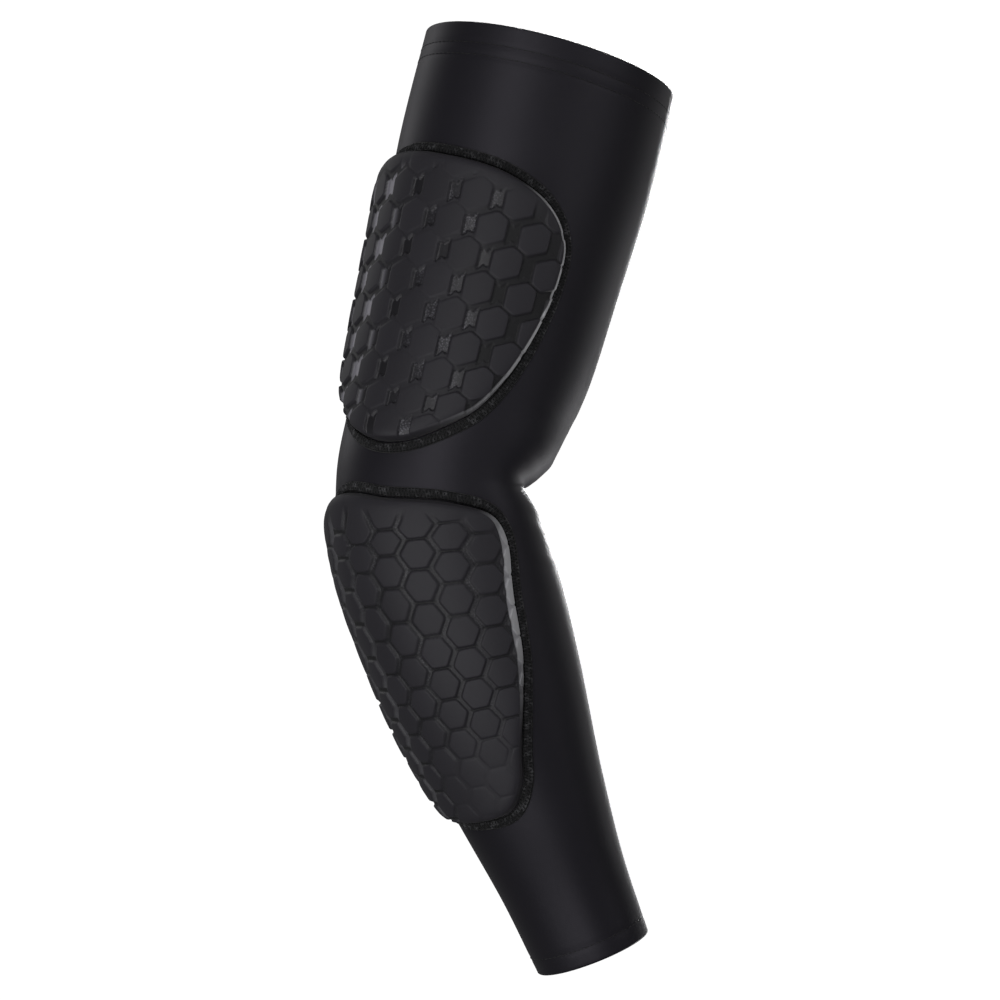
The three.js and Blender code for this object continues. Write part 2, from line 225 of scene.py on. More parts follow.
def threadMesh(name, lines, ups, radius, sides=6):
    # n threads through m points, ends closed: centre + radius * swell * (cos a * side + sin a * up)
    n, m, _ = lines.shape
    tangent = np.gradient(lines, axis=1)
    tangent /= np.linalg.norm(tangent, axis=-1, keepdims=True)
    side = np.cross(tangent, ups)
    side /= np.linalg.norm(side, axis=-1, keepdims=True)
    up = np.cross(side, tangent)
    swell = np.sqrt(1 - threadTip["narrowing"] * np.abs(np.linspace(-1, 1, m)) ** threadTip["power"])
    angle = np.linspace(0, 2 * np.pi, sides, endpoint=False)
    around = (
        np.cos(angle)[None, None, :, None] * side[:, :, None, :]
        + np.sin(angle)[None, None, :, None] * up[:, :, None, :]
    )
    rings = lines[:, :, None, :] + radius * swell[None, :, None, None] * around
    tips = lines[:, [0, -1]] + threadTip["reach"] * radius * np.stack([-tangent[:, 0], tangent[:, -1]], 1)
    points = np.concatenate([rings.reshape(n, -1, 3), tips], 1)
    wall = gridQuads(m, sides, False, True)
    j = np.arange(sides)
    after = (j + 1) % sides
    first, last = m * sides, m * sides + 1
    start = np.stack([np.full(sides, first), j, after], -1)
    end = np.stack([np.full(sides, last), (m - 1) * sides + after, (m - 1) * sides + j], -1)
    shift = (np.arange(n) * (m * sides + 2))[:, None, None]
    quads = (wall[None] + shift).reshape(-1, 4).tolist()
    tris = (np.concatenate([start, end])[None] + shift).reshape(-1, 3).tolist()
    return addPiece(name, points, quads + tris)


def settle(piece, material, node=None):
    # gives the piece its material and its place in the frame
    piece.data.materials.append(material)
    if node:
        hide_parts(node)
    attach(piece, "root")
    return piece


# Shader maths: a Socket is a node's output, and arithmetic on it adds Math nodes

class Socket:
    def __init__(self, finish, output):
        self.finish, self.output = finish, output

    def math(self, operation, first, second=0.0):
        return self.finish.node("ShaderNodeMath", {"operation": operation}, {0: first, 1: second})

    def __add__(self, other):
        return self.math("ADD", self, other)

    def __sub__(self, other):
        return self.math("SUBTRACT", self, other)

    def __rsub__(self, other):
        return self.math("SUBTRACT", other, self)

    def __mul__(self, other):
        return self.math("MULTIPLY", self, other)

    def __pow__(self, other):
        return self.math("POWER", self, other)

    __radd__ = __add__
    __rmul__ = __mul__

    def sine(self):
        return self.math("SINE", self)

    def size(self):
        return self.math("ABSOLUTE", self)


class Finish:
    # a material: node() adds any node, its settings first and then the values or links of its inputs
    def __init__(self, name, **shader):
        self.material = bpy.data.materials.new(name)
        self.material.use_nodes = True
        self.tree = self.material.node_tree
        self.shader = self.tree.nodes["Principled BSDF"]
        self.set(**shader)

    def feed(self, node, inputs):
        for key, value in inputs.items():
            socket = node.inputs[key]
            if isinstance(value, Socket):
                self.tree.links.new(value.output, socket)
            else:
                socket.default_value = value

    def node(self, kind, settings=None, inputs=None, output=0):
        node = self.tree.nodes.new(kind)
        for key, value in (settings or {}).items():
            setattr(node, key, value)
        self.feed(node, inputs or {})
        return Socket(self, node.outputs[output])

    def set(self, **inputs):
        self.feed(self.shader, {key.replace("_", " "): value for key, value in inputs.items()})

    def mixColour(self, factor, first, second):
        inputs = {"Factor": factor, "A": first, "B": second}
        return self.node("ShaderNodeMix", {"data_type": "RGBA"}, inputs, output=2)

    def noise(self, where, scale, detail):
        return self.node("ShaderNodeTexNoise", {}, {"Vector": where, "Scale": scale, "Detail": detail})

    def objectPlace(self):
        return self.node("ShaderNodeTexCoord", output="Object")

    def uvParts(self):
        uv = self.node("ShaderNodeUVMap", {"uv_map": "cloth"})
        split = self.node("ShaderNodeSeparateXYZ", {}, {0: uv})
        return split, Socket(self, split.output.node.outputs[1])

    def attribute(self, name):
        return self.node("ShaderNodeAttribute", {"attribute_name": name}, output="Fac")

    def bump(self, height, strength, distance):
        return self.node("ShaderNodeBump", {}, {"Height": height, "Strength": strength, "Distance": distance})


# The sleeve: warp-knitted nylon and elastane, near black with a soft sheen

sleeve = {
    "thickness": 1.2 * mm,
    "foldDepth": 0.9 * mm,  # how far the rim's round fold reaches along the arm
    "foldThickness": 2.5 * mm,
    "foldSteps": 11,
    "lip": 2.0 * mm,  # the fold's turned-in edge, before the hem's own layer
    "lipSlope": 0.5 * mm,
    "innerInset": 6 * mm,  # from the rims to the inner face's first and last rows
    "outerRows": 330,
    "innerRows": 60,
    "columns": 232,
    "meanGirth": 0.28,  # round which the knit's ribs are counted
    "colour": (0.0134, 0.0125, 0.017, 1),
    "worn": (0.0195, 0.0184, 0.0245, 1),
    "gleam": (0.93, 0.89, 1, 1),  # tint of its reflections
    "hemLines": (9.5 * mm, 15 * mm),
    "wristLine": 8 * mm,
    "stitchDip": 0.2 * mm,
    "stitchDipWidth": 0.9 * mm,
    "underPadDip": 0.35 * mm,
    "underPadEdge": 3 * mm,
}

# The knit's finish: each roughness is a base, then what slow and fine noise add
knit = {
    "wales": 320,  # ribs round the arm
    "coursePitch": 0.8 * mm,
    "sheen": (0.12, 0.4),  # weight and roughness
    "slowScale": 22,
    "fineScale": 2600,
    "fineShare": 0.3,
    "roughness": (0.40, 0.12, 0.06),
    "waleShare": 0.7,
    "fineRelief": 0.5,
    "bump": (0.22, 0.05 * mm),  # strength and depth
}


def makeKnit(name, colour, worn):
    # ribs |sin| across and loops sin along them, over slow and fine noise in colour and roughness
    finish = Finish(name, Specular_Tint=sleeve["gleam"])
    finish.set(Sheen_Weight=knit["sheen"][0], Sheen_Roughness=knit["sheen"][1])
    place = finish.objectPlace()
    u, v = finish.uvParts()
    slow = finish.noise(place, knit["slowScale"], 3)
    fine = finish.noise(place, knit["fineScale"], 2)
    tone = slow * (1 - knit["fineShare"]) + fine * knit["fineShare"]
    finish.set(Base_Color=finish.mixColour(tone, colour, worn))
    base, slowPart, finePart = knit["roughness"]
    finish.set(Roughness=base + slowPart * slow + finePart * fine)
    wale = (u * (knit["wales"] * 2 * math.pi / sleeve["meanGirth"])).sine().size()
    course = (v * (2 * math.pi / knit["coursePitch"])).sine()
    loops = wale * knit["waleShare"] + (course * wale) * (1 - knit["waleShare"])
    finish.set(Normal=finish.bump(loops + knit["fineRelief"] * fine, *knit["bump"]))
    return finish.material


# How the worn cloth lies: heights of its waves and folds, where they lie along the arm and round it
drape = {
    "waveHeight": 0.16 * mm,
    "waveRun": 31 * mm,
    "waveTurnRun": 60 * mm,
    "foldHeight": 0.3 * mm,
    "foldPitches": (12 * mm, 7.3 * mm),
    "foldSlant": 9 * mm,
    "foldReach": (2 * mm, 34 * mm),  # middle and width along the arm
    "beside": math.radians(48),  # the crease is fullest this far round from the inner elbow's middle
    "besideWidth": 0.5,
    "roll": (1.6 * mm, -22 * mm, 10 * mm),  # height, middle and width of the bulge above the crease
    "valley": (4.0 * mm, -1 * mm, 11 * mm),
    "wrinkleHeight": 0.1 * mm,  # fine wrinkles between the pads
    "wrinklePitch": 2.6 * mm,
    "wrinkleSlant": 1.2 * mm,
    "wrinkleTurn": (math.radians(205), 0.42),
    "wrinkleReach": (-3 * mm, 7 * mm),
}


def reliefOn(down, turn):
    # soft waves of the worn cloth, the crease with its bulge, and small folds and wrinkles as sines in bells
    wave = np.sin(down / drape["waveRun"] + 1.3 * np.sin(turn + 0.6))
    wave = drape["waveHeight"] * wave * np.sin(2 * turn + down / drape["waveTurnRun"])
    away = np.abs(np.mod(turn + np.pi, 2 * np.pi) - np.pi)
    beside = bell(away, drape["beside"], drape["besideWidth"]) + 0.5 * bell(away, 0, drape["besideWidth"])
    roll, valley = (height * bell(down, at, width) for height, at, width in (drape["roll"], drape["valley"]))
    ripple = np.sin(2 * np.pi * (down + drape["wrinkleSlant"] * np.sin(5 * turn)) / drape["wrinklePitch"])
    ripple *= bell(np.mod(turn, 2 * np.pi), *drape["wrinkleTurn"]) * bell(down, *drape["wrinkleReach"])
    slanted = down + drape["foldSlant"] * np.sin(turn * 1.7) ** 2
    wide, narrow = (2 * np.pi * slanted / pitch for pitch in drape["foldPitches"])
    folds = np.sin(wide + 0.8 * np.sin(3 * turn)) + 0.5 * np.sin(narrow + 1.1 + 2 * turn)
    folds = folds * np.maximum(np.cos(turn), 0) ** 1.5 * bell(down, *drape["foldReach"])
    small = drape["wrinkleHeight"] * ripple + drape["foldHeight"] * folds
    return wave + beside * (roll - valley) + small


def hemDips(down):
    # grooves where the stitches pull the cloth in: minus a bell at each stitched line
    lines = [line - arm["upperLength"] for line in sleeve["hemLines"]]
    lines.append(arm["forearmLength"] - sleeve["wristLine"])
    return -sleeve["stitchDip"] * sum(bell(down, line, sleeve["stitchDipWidth"]) for line in lines)


def sleeveProfile():
    # the wall's closed section: down the outer face, round the wrist's fold, up inside, round the rim's fold
    fold, half, slope = sleeve["foldDepth"], sleeve["foldThickness"] / 2, sleeve["lipSlope"]
    top, bottom = -arm["upperLength"], arm["forearmLength"]
    crowd = np.linspace(-1, 1, sleeve["outerRows"])
    spread = np.where(crowd < 0, arm["upperLength"] - fold, arm["forearmLength"] - fold)
    outer = np.stack([crowd * spread, 0 * crowd], -1)
    turns = np.linspace(0, np.pi, sleeve["foldSteps"])[1:-1]
    reach, sink = fold * np.sin(turns), half * (np.cos(turns) - 1)
    wristArc = np.stack([bottom - fold + reach, sink], -1)
    topArc = np.stack([top + fold - reach, sink], -1)[::-1]
    inside, deep = -sleeve["thickness"], -2 * half
    lipEnd, lipStart = bottom - sleeve["lip"], top + sleeve["lip"]
    ends = [(bottom - fold, deep), (lipEnd, deep), (lipEnd - slope, inside)]
    starts = [(lipStart + slope, inside), (lipStart, deep), (top + fold, deep)]
    inner = np.linspace(bottom - sleeve["innerInset"], top + sleeve["innerInset"], sleeve["innerRows"])
    inner = np.stack([inner, np.full_like(inner, inside)], -1)
    return np.concatenate([outer, wristArc, ends, inner, starts, topArc])


def gridUv(us, vs):
    # texture places at each quad's corners; both run one step past the last row and column, to close the grid
    corners = [(0, 0), (1, 0), (1, 1), (0, 1)]
    rows, columns = len(vs) - 1, len(us) - 1
    i, j = np.meshgrid(np.arange(rows), np.arange(columns), indexing="ij")
    return np.stack([np.stack([us[j + b], vs[i + a]], -1) for a, b in corners], 2).reshape(-1, 2)


def takenRound(name, section, dipsAt):
    # a closed section of places along the arm and heights, taken round it with the cloth's relief
    down, height, columns = section[:, :1], section[:, 1:], sleeve["columns"]
    turn = np.linspace(0, 2 * np.pi, columns, endpoint=False)[None]
    points = onArm(down, turn, height + reliefOn(down, turn) + dipsAt(down, turn, height))
    us = np.linspace(0, 1, columns + 1) * sleeve["meanGirth"]
    vs = np.append(section[:, 0], section[0, 0])
    return addPiece(name, points, gridQuads(len(section), columns, True, True), gridUv(us, vs))


def makeSleeve(pads):
    # the wall's section, with the hems' dips on its outer face and a dip under each pad
    def dipsAt(down, turn, height):
        outside = height > -0.5 * sleeve["thickness"]
        under = sum(underPad(pad, down, turn) for pad in pads)
        return outside * hemDips(down) - sleeve["underPadDip"] * under

    piece = takenRound("knittedSleeve", sleeveProfile(), dipsAt)
    material = makeKnit("sleeveKnit", sleeve["colour"], sleeve["worn"])
    return settle(piece, material, "compression_sleeve")


# Hems: the layer turned in at each end, and the stitches that hold it

hem = {
    "upperDepth": 15 * mm,
    "wristDepth": 9 * mm,
    "start": 1.2 * mm,  # where it comes out of the rim's fold
    "outer": -1.3 * mm,
    "inner": -2.52 * mm,
    "rounding": 0.6 * mm,
    "rows": 14,
    "colour": (0.012, 0.0117, 0.0155, 1),
    "worn": (0.0175, 0.017, 0.0225, 1),
    "pathPoints": 721,
    "stitchLength": 2.3 * mm,
    "stitchGap": 0.5 * mm,
    "stitchPoints": 6,
    "stitchHeight": -0.12 * mm,
    "stitchBow": 0.1 * mm,
    "looperPitch": 1.5 * mm,
    "looperPoints": 7,
    "looperBow": 0.12 * mm,
    "looperSink": 0.1 * mm,
    "wristLooperEdge": 4 * mm,
    "threadRadius": 0.19 * mm,
    "thread": (0.014, 0.014, 0.015, 1),
    "threadLight": (0.03, 0.03, 0.033, 1),
}


def makeHem(name, node, rim, way, depth, material):
    # a closed ring: along the face on the sleeve from the fold to the raw edge, round it, and back inside
    near, far = rim + way * hem["start"], rim + way * depth
    along = np.linspace(near, far - way * hem["rounding"], hem["rows"])
    arc = np.linspace(0, np.pi, 7)[1:-1]
    middle, half = (hem["outer"] + hem["inner"]) / 2, (hem["outer"] - hem["inner"]) / 2
    face = np.stack([along, np.full_like(along, hem["outer"])], -1)
    edge = np.stack([far - way * hem["rounding"] * (1 - np.sin(arc)), middle + half * np.cos(arc)], -1)
    back = np.stack([along[::-1], np.full_like(along, hem["inner"])], -1)
    section = np.concatenate([face, edge, back])[::way]
    piece = takenRound(name, section, lambda down, turn, height: 0)
    return settle(piece, material, node)


def pathRound(down, height):
    # the distance run round the arm at one place along it, and the turns it belongs to
    turn = np.linspace(0, 2 * np.pi, hem["pathPoints"])
    return runAlong(onArm(down, turn, height)), turn


def stitchRound(name, downs, material):
    # running stitches at each line: dash k spans k * pitch to k * pitch + length, bowed outwards
    lines, ups = [], []
    share = np.linspace(0, 1, hem["stitchPoints"])[None]
    for down in downs:
        run, turn = pathRound(down, hem["stitchHeight"])
        count = round(run[-1] / (hem["stitchLength"] + hem["stitchGap"]))
        start = np.arange(count)[:, None] * run[-1] / count
        at = np.interp(start + share * hem["stitchLength"], run, turn)
        lift = hem["stitchHeight"] + hem["stitchBow"] * np.sin(np.pi * share)
        lines.append(onArm(down, at, lift + reliefOn(down, at)))
        ups.append(onArm(down, at, lift + mm) - onArm(down, at, lift))
    piece = threadMesh(name, np.concatenate(lines), np.concatenate(ups), hem["threadRadius"])
    return settle(piece, material)


def looperInside(name, near, far, material):
    # the cover thread on the hem's inner face: a zigzag between two lines, one thread for each of its strokes
    height = hem["inner"] - hem["looperSink"]
    run, turn = pathRound((near + far) / 2, height)
    count = 2 * round(run[-1] / (2 * hem["looperPitch"]))
    pitch = run[-1] / count
    share = np.linspace(0, 1, hem["looperPoints"])[None]
    k = np.arange(count)[:, None]
    at = np.interp((k + share) * pitch, run, turn)
    down = np.where(k % 2 == 0, near + (far - near) * share, far + (near - far) * share)
    lift = height - hem["looperBow"] * np.sin(np.pi * share)
    lines = onArm(down, at, lift)
    ups = onArm(down, at, lift - mm) - lines
    piece = threadMesh(name, lines, ups, hem["threadRadius"], sides=5)
    return settle(piece, material)


# Pads: foam sheets with raised hexagon blocks under a bonded knit cover

padding = {
    "seat": 0.45 * mm,
    "top": 7.0 * mm,
    "wallWidth": 1.6 * mm,
    "shoulder": 0.9 * mm,  # how much lower the border lies, and how wide its round is
    "shoulderWidth": 1.3 * mm,
    "blockWall": 0.7 * mm,  # width of a block's sloped wall, and the share of it outside the block's size
    "wallOutside": 0.35,
    "slotEdge": 0.6 * mm,
    "slotEndEdge": 0.8 * mm,
    "dome": 0.15 * mm,
    "uneven": 0.06,  # share by which the blocks' heights differ
    "shrink": 0.1,  # share by which the blocks are smaller where the cover is stretched round the arm
    "tilt": 0.012,
    "upperStart": 0.18,  # above this share of the length the grooves run out, and over what share
    "upperRun": 0.3,
    "topBorder": 7 * mm,  # how far below the upper border they run out
    "plainSide": (-16 * mm, 12 * mm),  # where across the pad its plain end begins, and over what width
    "plainShare": 0.88,
    "highlightRuns": (16, 75),  # degrees over which the lit bevel and its painted highlight begin and end
    "highlightEdge": 0.5 * mm,
    "cornerPower": 16,
    "grid": 280,
    "outlinePoints": 360,
    "curveSteps": 40,
    "sideRings": 6,
    "underRings": 7,
    "cover": (0.0292, 0.0272, 0.0345, 1),
    "coverWorn": (0.0375, 0.0352, 0.0445, 1),
    "groove": (0.013, 0.0128, 0.015, 1),
    # light yarn of the slots, painted lighter where it stands for the front light's glints
    "grooveYarnGlint": (0.16, 0.16, 0.175, 1),
    # near-white in foam colour: a painted highlight, laid on the lit bevel, its side wall and the slots on
    # the lit side
    "sideHighlight": (0.68, 0.68, 0.71, 1),
}

# The cover's finish, in the same terms
cover = {
    "sheen": (0.08, 0.5),
    "coatRoughness": 0.36,
    "slowScale": 30,
    "fineScale": 1800,
    "yarnScale": 1150,
    "patches": (60, 0.36, 6),  # of light yarn specks, painted lighter as glints: their scale, where they begin and how steeply they rise
    "roughness": (0.56, 0.08, -0.1),  # the last is what the slots' gloss adds
    "yarnRelief": 1.5,
    "bump": (0.4, 0.08 * mm),
}

elbowPad = {
    "name": "elbow",
    "length": 126.4 * mm,
    "width": 113 * mm,
    "middle": -71 * mm,
    "turn": math.radians(31),
    "slant": math.radians(4),
    "across": (0, 0.42, 0.76, 0.95, 1, 0.965, 0.845, 0.67, 0.37, 0),
    "down": (-1, -0.98, -0.865, -0.66, -0.4, 0, 0.41, 0.7, 0.935, 1),
    "pointsDown": True,
    "blockSlant": 0,
    "blockHeight": 1.3 * mm,
    "gloss": (0.6, 34 * mm, 8 * mm),  # of the slots' stretched knit, where it ends across the pad, how fast
    "slotHalf": 4.4 * mm,  # half of their length, and how steeply their ends rise
    "slotRise": 0.6,
    "pitchAcross": 16.4 * mm,
    "pitchDown": 13.4 * mm,
    "gaps": (4.8 * mm, 2.9 * mm, 0.3 * mm),  # between blocks in a row, and along both slants between rows
    "closed": (5 * mm, 26 * mm, 0.92),  # where across the pad the rows close up, over what width, and how far
    "yarnGlints": (15 * mm, 13 * mm, 1.0),  # where across the pad the slots show light yarn as painted glints, how wide, how much
    "litSlots": (-13 * mm, -19 * mm, 0.5),  # from where across the pad the slots get a painted highlight of the left light's reflection, to where, how bright
    "plainEnd": None,
    "highlightSide": (-60, 80),  # degrees round the outline from its right, downwards, where the bevel and its painted highlight lie
    "bevel": (0.6 * mm, 0.4 * mm, 0.2 * mm),  # the lit bevel's width, its step down and its slope
    "startAcross": -0.35,
    "startDown": -0.53,
}

forearmPad = {
    "name": "forearm",
    "length": 135.2 * mm,
    "width": 93 * mm,
    "middle": 71 * mm,
    "turn": math.radians(27),
    "slant": math.radians(5),
    "across": (0, 0.55, 0.85, 0.98, 1, 0.995, 0.9, 0.765, 0.67, 0.47, 0),
    "down": (-1, -0.985, -0.9, -0.74, -0.4, 0, 0.3, 0.6, 0.81, 0.96, 1),
    "pointsDown": False,
    "blockSlant": math.radians(5),
    "blockHeight": 1.1 * mm,
    "gloss": (0.3, 100 * mm, 8 * mm),
    "slotHalf": 20 * mm,
    "slotRise": 0,
    "pitchAcross": 11.75 * mm,
    "pitchDown": 13 * mm,
    "gaps": (0.7 * mm, 2.0 * mm, 2.0 * mm),
    "closed": (30 * mm, 20 * mm, 0.3),
    "yarnGlints": (6 * mm, 60 * mm, 0.45),
    "litSlots": (-10 * mm, -22 * mm, 0.15),
    "plainEnd": (20 * mm, 30 * mm),  # below this the grooves run out, over this far
    "highlightSide": (-58, 52),
    "bevel": (3.2 * mm, 0.9 * mm, 1.2 * mm),
    "startAcross": 0.03,
    "startDown": -0.07,
}


def turnFlat(flat, angle):
    # (across cos - down sin, down cos + across sin)
    across, down = flat[..., 0], flat[..., 1]
    c, s = np.cos(angle), np.sin(angle)
    return np.stack([across * c - down * s, down * c + across * s], -1)


def girthRadius(pad):
    # the mean of the arm's half width and half depth at the pad's middle
    middle = np.array(pad["middle"])
    return float(halfSizeAt(middle, "width", 0) + halfSizeAt(middle, "depth", 1)) / 2


def onPad(pad, flat, height):
    # down lies along the arm, across goes round it, scaled by the girth at the pad's middle
    turn = np.pi + pad["turn"] + flat[..., 0] / girthRadius(pad)
    return onArm(pad["middle"] + flat[..., 1], turn, height)


def blend(t, first, second, start, end):
    # the first at the knot start, the second at the knot end, in proportion between
    return ((end - t) * first + (t - start) * second) / (end - start)


def closedCurve(corners):
    # centripetal Catmull-Rom through the corners (knots grow by the square root of each chord), evenly spaced
    around = np.concatenate([corners[-1:], corners, corners[:2]])
    pieces = []
    for k in range(len(corners)):
        p = around[k : k + 4]
        knots = np.concatenate([[0], np.cumsum(np.linalg.norm(np.diff(p, axis=0), axis=1) ** 0.5)])
        t = np.linspace(knots[1], knots[2], padding["curveSteps"], endpoint=False)[:, None]
        chords = [blend(t, p[i], p[i + 1], knots[i], knots[i + 1]) for i in range(3)]
        arcs = [blend(t, chords[i], chords[i + 1], knots[i], knots[i + 2]) for i in range(2)]
        pieces.append(blend(t, *arcs, knots[1], knots[2]))
    curve = np.concatenate(pieces + [pieces[0][:1]])
    run = runAlong(curve)
    even = np.linspace(0, run[-1], padding["outlinePoints"], endpoint=False)
    return np.stack([np.interp(even, run, curve[:, k]) for k in (0, 1)], -1)


def flatOutline(pad):
    # the table's right side in half widths and half lengths, its mirror image, both turned by the slant
    halfSizes = pad["width"] / 2, pad["length"] / 2
    right = np.stack([pad["across"], pad["down"]], -1) * halfSizes
    left = right[1:-1][::-1] * (-1, 1)
    return closedCurve(turnFlat(np.concatenate([right, left]), pad["slant"]))


def outwards(outline):
    # unit vectors square to the line between each point's neighbours
    along = np.roll(outline, -1, 0) - np.roll(outline, 1, 0)
    along /= np.linalg.norm(along, axis=1, keepdims=True)
    return np.stack([along[:, 1], -along[:, 0]], -1)


def stretchAt(pad, outline):
    # how far one flat millimetre outwards goes on the arm
    ways = outwards(outline)
    return np.linalg.norm(onPad(pad, outline + mm * ways, 0) - onPad(pad, outline, 0), axis=1) / mm


def moveOut(pad, outline, distance):
    # outline + distance / stretch, outwards
    return outline + (distance / stretchAt(pad, outline))[:, None] * outwards(outline)


def radiusOf(outline):
    # the outline as a radius for each direction from the pad's middle
    angle = np.arctan2(outline[:, 1], outline[:, 0])
    order = np.argsort(angle)
    angle, radius = angle[order], np.linalg.norm(outline, axis=1)[order]
    return lambda way: np.interp(way, angle, radius, period=2 * np.pi)


def distanceInside(flat, outline, scale):
    # shortest distance from each flat point to the outline's chords, times the stretch there
    start, end = outline, np.roll(outline, -1, 0)
    chord = end - start
    best = np.empty(len(flat))
    atOnce = 4000
    for k in range(0, len(flat), atOnce):
        part = flat[k : k + atOnce, None] - start
        along = np.clip((part * chord).sum(-1) / (chord * chord).sum(-1), 0, 1)
        off = np.linalg.norm(part - along[..., None] * chord, axis=-1) * scale
        best[k : k + atOnce] = off.min(1)
    return best


def underPad(pad, down, turn):
    # 1 under the pad and 0 outside it, over a soft edge
    across = (np.mod(turn - pad["turn"], 2 * np.pi) - np.pi) * girthRadius(pad)
    flat = np.stack(np.broadcast_arrays(across, down - pad["middle"]), -1)
    limit = radiusOf(flatOutline(pad))(np.arctan2(flat[..., 1], flat[..., 0]))
    return np.clip((limit - np.linalg.norm(flat, axis=-1)) / sleeve["underPadEdge"] + 0.5, 0, 1)


def blockPitches(pad):
    # pitch within a row of blocks, and from row to row
    across, down = pad["pitchAcross"], pad["pitchDown"]
    return (across, down) if pad["pointsDown"] else (down, across)


def hexSize(pad, s, r):
    # place in a hexagon as a share of its half size: the power mean of the distances to its pairs of sides
    within, along = blockPitches(pad)
    apart = math.hypot(within / 2, along)
    rising, falling = (s * within / 2 + r * along) / apart, (s * within / 2 - r * along) / apart
    halves = (np.array([within, apart, apart]) - pad["gaps"]) / 2
    axes = np.abs(np.stack([s / halves[0], rising / halves[1], falling / halves[2]]))
    return (axes ** padding["cornerPower"]).sum(0) ** (1 / padding["cornerPower"])


def nearestBlock(pad, flat):
    # the nearest block of two interleaved lattices: offsets along and across its row, and its own numbers
    flat = turnFlat(flat, -pad["blockSlant"])
    x = flat[..., 0] - pad["startAcross"] * pad["pitchAcross"]
    y = flat[..., 1] - pad["startDown"] * pad["pitchDown"]
    s, r = (x, y) if pad["pointsDown"] else (y, x)
    within, along = blockPitches(pad)
    found = []
    for odd in (0, 1):
        row = 2 * np.round((r / along - odd) / 2) + odd
        k = np.round(s / within - odd / 2) + odd / 2
        found.append((s - k * within, r - row * along, k, row))
    nearer = hexSize(pad, *found[1][:2]) < hexSize(pad, *found[0][:2])
    return [np.where(nearer, b, a) for a, b in zip(*found)]


def highlightShare(pad, flat, border):
    # 1 on the lit side, where the bevel lies and its painted highlight is laid: within the bevel's width of
    # the border, between two directions from the pad's middle
    way = np.degrees(np.arctan2(flat[..., 1], flat[..., 0]))
    start, end = pad["highlightSide"]
    startRun, endRun = padding["highlightRuns"]
    along = smoothStep((way - start) / startRun) * smoothStep((end - way) / endRun)
    width = pad["bevel"][0] * along
    return along * softEdge(width - border, padding["highlightEdge"]), width


def grooveDepth(pad, flat, border):
    # 1 where the grooves are deep, running out under the upper border and at the plain end
    across, down = flat[..., 0], flat[..., 1]
    upper = smoothStep((-down / pad["length"] - padding["upperStart"]) / padding["upperRun"])
    depth = 1 - upper * np.exp(-((border / padding["topBorder"]) ** 4))
    if pad["plainEnd"]:
        start, length = pad["plainEnd"]
        side, width = padding["plainSide"]
        plain = smoothStep((across - side) / width) * smoothStep((down - start) / length)
        depth = depth * (1 - padding["plainShare"] * plain)
    return depth


def blockRelief(pad, flat, border):
    # low + raised * (shape - low): raised is 1 on a block, low fills its groove up where the rows close,
    # shape is its height with a slight dome and tilt; the border's shoulder is taken off
    s, r, k, row = nearestBlock(pad, flat)
    across = flat[..., 0]
    # toward the pad's stretched and lit side the blocks shrink, and the slot floors get a painted highlight
    # of the left light's reflection
    litSlotsStart, litSlotsEnd, slotHighlight = pad["litSlots"]
    stretchedAndLit = smoothStep((across - litSlotsStart) / (litSlotsEnd - litSlotsStart))
    within = blockPitches(pad)[0]
    half = (within - pad["gaps"][0]) / 2
    size = hexSize(pad, s, r) + padding["shrink"] * stretchedAndLit
    raised = smoothStep((1 - size) * half / padding["blockWall"] + padding["wallOutside"])

    # a slot lies between two blocks of a row; its window ends where the next rows begin
    slot = softEdge(np.abs(s) - half * (1 - padding["shrink"] * stretchedAndLit), padding["slotEdge"])
    fromSlot = s - np.sign(s) * within / 2
    toEnd = pad["slotHalf"] - np.abs(r + pad["slotRise"] * fromSlot)
    window = slot * softEdge(toEnd, padding["slotEndEdge"])
    shown = window if pad["pointsDown"] else 1 - slot

    centre, width, share = pad["closed"]
    depth = grooveDepth(pad, flat, border) * (1 - share * bell(across, centre, width) * (1 - window))
    own = hash01(k, row)
    lean = (hash01(k, row, 3) - 0.5) * s + (hash01(k, row, 7) - 0.5) * r
    dome = padding["dome"] * (1 - np.clip(size, 0, 1) ** 2)
    evenness = 1 + padding["uneven"] * (own - 0.5)
    shape = pad["blockHeight"] * evenness + dome + 2 * padding["tilt"] * lean
    low = pad["blockHeight"] * (1 - depth)

    # the lit side: a bevel in the shape, and a painted highlight in the colour
    litBevel, width = highlightShare(pad, flat, border)
    _, step, slope = pad["bevel"]
    shoulder = padding["shoulder"] * np.exp(-border / padding["shoulderWidth"])
    shoulder += litBevel * (step + slope * np.clip(1 - border / np.maximum(width, 0.1 * mm), 0, 1))
    height = padding["top"] - pad["blockHeight"] - shoulder + low + raised * (shape - low)
    floor = (1 - raised) * depth
    # the lit bevel's painted highlight, and the slots' painted highlight toward the lit side
    paintedHighlight = np.maximum(litBevel * (0.75 + 0.25 * raised), slotHighlight * floor * shown * stretchedAndLit)
    return height, floor, (1 - raised) ** 4 * depth * shown, paintedHighlight, own


def yarnGlintShare(pad, flat):
    # light yarn shows in the slots of the middle columns, painted lighter as the front light's glints: most *
    # exp(-((across - centre) / width)^4)
    centre, width, most = pad["yarnGlints"]
    return most * np.exp(-(((flat[..., 0] - centre) / width) ** 4))


